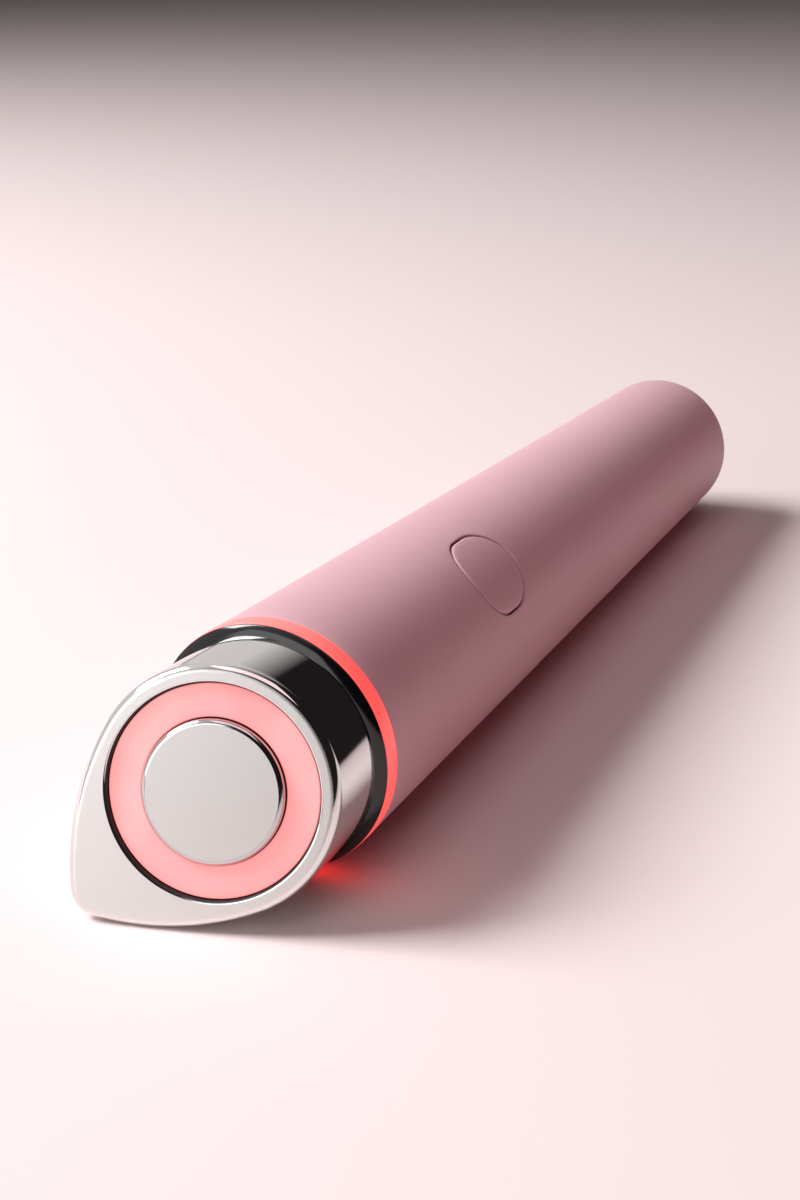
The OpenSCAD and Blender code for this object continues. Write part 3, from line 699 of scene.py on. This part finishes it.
def ring_tree():
    tree = bpy.data.node_groups.new("rounded_ring", "GeometryNodeTree")
    for name, value in (("Radius", 0.01), ("Width", 0.002), ("Height", 0.002), ("Edge radius", 0.0002)):
        socket(tree, name, "NodeSocketFloat", value)
    socket(tree, "Segments", "NodeSocketInt", 192)
    socket(tree, "Material", "NodeSocketMaterial")
    socket(tree, "Geometry", "NodeSocketGeometry", out=True)
    given = add(tree, "NodeGroupInput").outputs
    path = add(tree, "GeometryNodeCurvePrimitiveCircle", Resolution=given["Segments"], Radius=given["Radius"])
    section = add(tree, "GeometryNodeCurvePrimitiveQuadrilateral", Width=given["Width"],
                  Height=given["Height"])
    soft = add(tree, "GeometryNodeFilletCurve", {"mode": "POLY"}, Curve=section.outputs["Curve"],
               Radius=given["Edge radius"], Count=5)
    body = add(tree, "GeometryNodeCurveToMesh", Curve=path.outputs["Curve"],
               Profile_Curve=soft.outputs["Curve"])
    finish_tree(tree, body.outputs["Mesh"], given["Material"])
    return tree


def grow(name, tree, values, place, angle=40, base=None):
    """Runs a tree on an empty mesh or a base object, keeps the result as a plain mesh in the frame."""
    host = bpy.data.objects.new(name, base or bpy.data.meshes.new(name))
    bpy.context.scene.collection.objects.link(host)
    modifier = host.modifiers.new("rule", "NODES")
    modifier.node_group = tree
    for item in tree.interface.items_tree:
        if item.in_out == "INPUT" and item.name in values:
            modifier[item.identifier] = values[item.name]
    bpy.context.view_layer.update()
    seen = host.evaluated_get(bpy.context.evaluated_depsgraph_get())
    mesh = bpy.data.meshes.new_from_object(seen)
    mesh.name = name
    host.modifiers.clear()
    host.data = mesh
    mesh.transform(place)
    mesh.set_sharp_from_angle(angle=math.radians(angle))
    mesh.polygons.foreach_set("use_smooth", [True] * len(mesh.polygons))
    return host


# %% Glowing ring and seal
RULE_RING = ring_tree()


def make_ring(name, r_in, r_out, z0, z1, edge, material, base, segments=192):
    """A ring between two radii and two heights. The tree works in metres, so the place has no scale."""
    middle = Matrix.Translation((0, 0, (z0 + z1) / 2))
    place = base @ middle @ Matrix.Scale(1 / MM, 4)
    values = {"Radius": (r_in + r_out) / 2 * MM, "Width": (r_out - r_in) * MM, "Height": (z1 - z0) * MM,
              "Edge radius": edge * MM, "Segments": segments, "Material": material}
    return grow(name, RULE_RING, values, place)


PLAY, SEAL_W, SEAL_MIDDLE = 0.01, 0.9, 1.5
glow = make_ring("light_ring_dressed", SPIGOT_R + 0.1, RING_R, HANDLE_LEN + PLAY, RING_Z - PLAY, 0.12,
                 ring_red, WAND, 256)
dress(glow, "root", "ring_red", "light_ring")
seal_low, seal_top = NECK_Z + SEAL_MIDDLE - SEAL_W / 2, NECK_Z + SEAL_MIDDLE + SEAL_W / 2
seal = make_ring("head_seal_dressed", BOSS_R - SEAL_W, BOSS_R, seal_low, seal_top, 0.4,
                 inner["rubber_dark"], WAND, 128)
dress(seal, "root", "rubber_dark", "head_seal")

# %% [markdown]
# The lens lies a little below the face, and its sides and flange are black: masking ink that keeps
# light from leaking past them, and painted shade that makes the thin dark line round the glowing lens.


# %% Lens
def make_lens():
    soft, flange = 0.1, 0.5
    inner_r, outer_r, top = DISC_R + 0.12, LENS_R, -LENS_SINK
    low = top - LENS_T
    profile = [(inner_r, low), (inner_r, top - soft), (inner_r + soft, top)]
    profile += [(inner_r + (outer_r - inner_r) * share, top) for share in (0.2, 0.5, 0.8)]
    profile += [(outer_r - soft, top), (outer_r, top - soft), (outer_r, low + flange)]
    profile += [(HOLE_R - 0.04, low + flange), (HOLE_R - 0.04, low)]
    points, faces = skin(turned(profile))
    # The top faces glow; the sides and flange take the black, masking ink and painted gap shade.
    lit = [min(points[v][2] for v in face) > top - 2 * soft for face in faces]
    return build("lens_ring_dressed", points, [f[::-1] for f in faces], [masking_ink_and_gap_shade, lens_pink], lit, FACE)


dress(make_lens(), "root", "lens_pink", "lens_ring")

# %% [markdown]
# Behind the lens and behind the glowing ring sit twelve small lamps each, all alike and evenly
# spaced: the case that instances were made for. The tree puts a lamp on each point of a circle and
# turns it to face outwards. The base lamp is a package with a domed yellow or red window.


# %% Lamp tree
def lamp_tree():
    tree = bpy.data.node_groups.new("lamps_on_circle", "GeometryNodeTree")
    socket(tree, "Geometry", "NodeSocketGeometry")
    socket(tree, "Count", "NodeSocketInt", 12)
    socket(tree, "Radius", "NodeSocketFloat", 0.01)
    socket(tree, "Phase", "NodeSocketFloat", 0.0)
    socket(tree, "Material", "NodeSocketMaterial")
    socket(tree, "Geometry", "NodeSocketGeometry", out=True)
    given = add(tree, "NodeGroupInput").outputs
    spots = add(tree, "GeometryNodeCurvePrimitiveCircle", Resolution=given["Count"], Radius=given["Radius"])
    points = add(tree, "GeometryNodeCurveToPoints", {"mode": "EVALUATED"}, Curve=spots.outputs["Curve"])
    index = add(tree, "GeometryNodeInputIndex")
    step = add(tree, "ShaderNodeMath", {"operation": "DIVIDE"}, _0=2 * math.pi, _1=given["Count"])
    angle = add(tree, "ShaderNodeMath", {"operation": "MULTIPLY"}, _0=index.outputs[0], _1=step.outputs[0])
    facing = add(tree, "ShaderNodeCombineXYZ", Z=angle.outputs[0])
    lamps = add(tree, "GeometryNodeInstanceOnPoints", Points=points.outputs["Points"],
                Instance=given["Geometry"], Rotation=facing.outputs[0])
    phase = add(tree, "ShaderNodeCombineXYZ", Z=given["Phase"])
    turned_all = add(tree, "GeometryNodeTransform", Geometry=lamps.outputs["Instances"],
                     Rotation=phase.outputs[0])
    finish_tree(tree, turned_all.outputs["Geometry"], given["Material"])
    return tree


def lamp_mesh(side, high):
    """A square package with cut corners and a shallow dome, around its own middle, in metres."""
    half, cut = side / 2, side * 0.12
    square = [(half, half - cut), (half - cut, half), (-half + cut, half), (-half, half - cut),
              (-half, -half + cut), (-half + cut, -half), (half - cut, -half), (half, -half + cut)]
    rings = [[(x * s, y * s, z) for x, y in square]
             for s, z in ((1, 0), (1, high * 0.6), (0.75, high * 0.6), (0.65, high * 0.85), (0.3, high))]
    points, faces = skin([[(x * MM, y * MM, z * MM) for x, y, z in ring] for ring in rings], closed=False)
    faces.append(tuple(reversed(range(8))))
    faces.append(tuple(range(32, 40)))
    mesh = bpy.data.meshes.new("lamp")
    mesh.from_pydata(points, [], faces)
    return mesh


RULE_LAMPS = lamp_tree()
LAMP_HIGH = 0.5
sets = (("led_chips_dressed", 1.6, 10.0, 0.0, FACE, -2.9, "lamp_yellow", "led_chips"),
        ("ring_leds_dressed", 1.4, 11.5, math.radians(15), WAND, 143.2, "lamp_red", "ring_leds"))
for name, side, radius, phase, base, height, slot, node in sets:
    place = base @ Matrix.Translation((0, 0, height)) @ Matrix.Scale(1 / MM, 4)
    values = {"Count": 12, "Radius": radius * MM, "Phase": phase, "Material": inner[slot]}
    dress(grow(name, RULE_LAMPS, values, place, base=lamp_mesh(side, LAMP_HIGH)), "root", slot, node)

# %% [markdown]
# The floor is a plain pale sheet and the background is pale as well. Chrome needs something dark to
# mirror, so for reflections alone the surroundings go from pale on the left to nearly black on the
# right, as in a studio with the lamp on one side. The camera itself sees the pale backdrop. A large
# key lamp on the left makes the shape, a weak one above softens its edge, one in front lights the
# face, and a small red one on the right stands for the light that the glowing ring throws back.

# %% Floor and background
SPAN = 6.0
floor_mesh = bpy.data.meshes.new("floor")
corners = [(-SPAN, -SPAN, 0), (SPAN, -SPAN, 0), (SPAN, SPAN, 0), (-SPAN, SPAN, 0)]
floor_mesh.from_pydata(corners, [], [(0, 1, 2, 3)])
floor = bpy.data.objects.new("floor", floor_mesh)
bpy.context.scene.collection.objects.link(floor)
pale = linear("#F8E9E9")
floor_paint = new_material("pale_floor", Roughness=0.9, Specular_IOR_Level=0.1, Base_Color=pale)[0]
floor_mesh.materials.append(floor_paint)

world = bpy.data.worlds.new("studio")
world.use_nodes = True
bpy.context.scene.world = world
sky = world.node_tree
toward = add(sky, "ShaderNodeTexCoord")
parts = add(sky, "ShaderNodeSeparateXYZ", Vector=toward.outputs["Generated"])
across = add(sky, "ShaderNodeMapRange", Value=parts.outputs["X"], From_Min=-0.35, From_Max=0.1)
wall = two_colours(sky, across.outputs["Result"], "#EFE9E7", "#231F20")
sky.links.new(wall, sky.nodes["Background"].inputs["Color"])
kind = add(sky, "ShaderNodeLightPath")
level = add(sky, "ShaderNodeMapRange", Value=kind.outputs["Is Glossy Ray"], To_Min=0.04, To_Max=0.85)
sky.links.new(level.outputs["Result"], sky.nodes["Background"].inputs["Strength"])
backdrop = add(sky, "ShaderNodeBackground", Color=linear("#F1E4E4"), Strength=0.9)
choice = add(sky, "ShaderNodeMixShader", _0=kind.outputs["Is Camera Ray"],
             _1=sky.nodes["Background"].outputs["Background"], _2=backdrop.outputs["Background"])
sky.links.new(choice.outputs["Shader"], sky.nodes["World Output"].inputs["Surface"])


# %% Lamps
def soft_box(name, at, target, size, power, colour="#FFFFFF"):
    lamp = bpy.data.lights.new(name, "AREA")
    lamp.shape = "RECTANGLE"
    lamp.size, lamp.size_y = size
    lamp.energy = power
    lamp.color = linear(colour)[:3]
    obj = bpy.data.objects.new(name, lamp)
    bpy.context.scene.collection.objects.link(obj)
    obj.location = at
    obj.rotation_euler = (Vector(target) - Vector(at)).to_track_quat("-Z", "Y").to_euler()
    obj.visible_camera = False
    return obj


head_at = FACE.translation
wand_at = (0, 0, 0.015)
soft_box("key", at=(-0.74, -0.3, 0.76), target=wand_at, size=(0.5, 0.5), power=15)
soft_box("top", at=(0.12, -0.25, 1.0), target=wand_at, size=(0.8, 0.8), power=2.4, colour="#FFE2E6")
soft_box("front", at=(-0.32, -0.9, 0.3), target=head_at, size=(0.7, 0.5), power=1.9)
fill = soft_box("ring_glow", at=(0.72, -0.06, 0.07), target=wand_at, size=(0.3, 0.08), power=0.2,
                colour="#FF4A54")
fill.visible_glossy = False
print("lamps placed")

# %% [markdown]
# The camera stands where the photographer stood: low, in front of the head and a little to its
# right. Its place was worked out from the ellipses of the collar, the neck and the lens.

# %% Camera
EYE_FROM_RING = Vector((92.4, -158.6, 90.6)) * MM
LOOK = Vector((-0.4016, 0.8386, -0.3682))
SENSOR_HEIGHT, FOCAL_LENGTH = 36.0, 53.3
camera_data = bpy.data.cameras.new("camera")
camera_data.sensor_fit = "VERTICAL"
camera_data.sensor_height = SENSOR_HEIGHT
camera_data.lens = FOCAL_LENGTH
camera_data.clip_start = 0.01
camera = bpy.data.objects.new("camera", camera_data)
bpy.context.scene.collection.objects.link(camera)
camera.location = WAND @ Vector((0, 0, RING_Z)) + EYE_FROM_RING
camera.rotation_euler = LOOK.to_track_quat("-Z", "Y").to_euler()
bpy.context.scene.camera = camera
bpy.context.scene.view_settings.view_transform = "Standard"
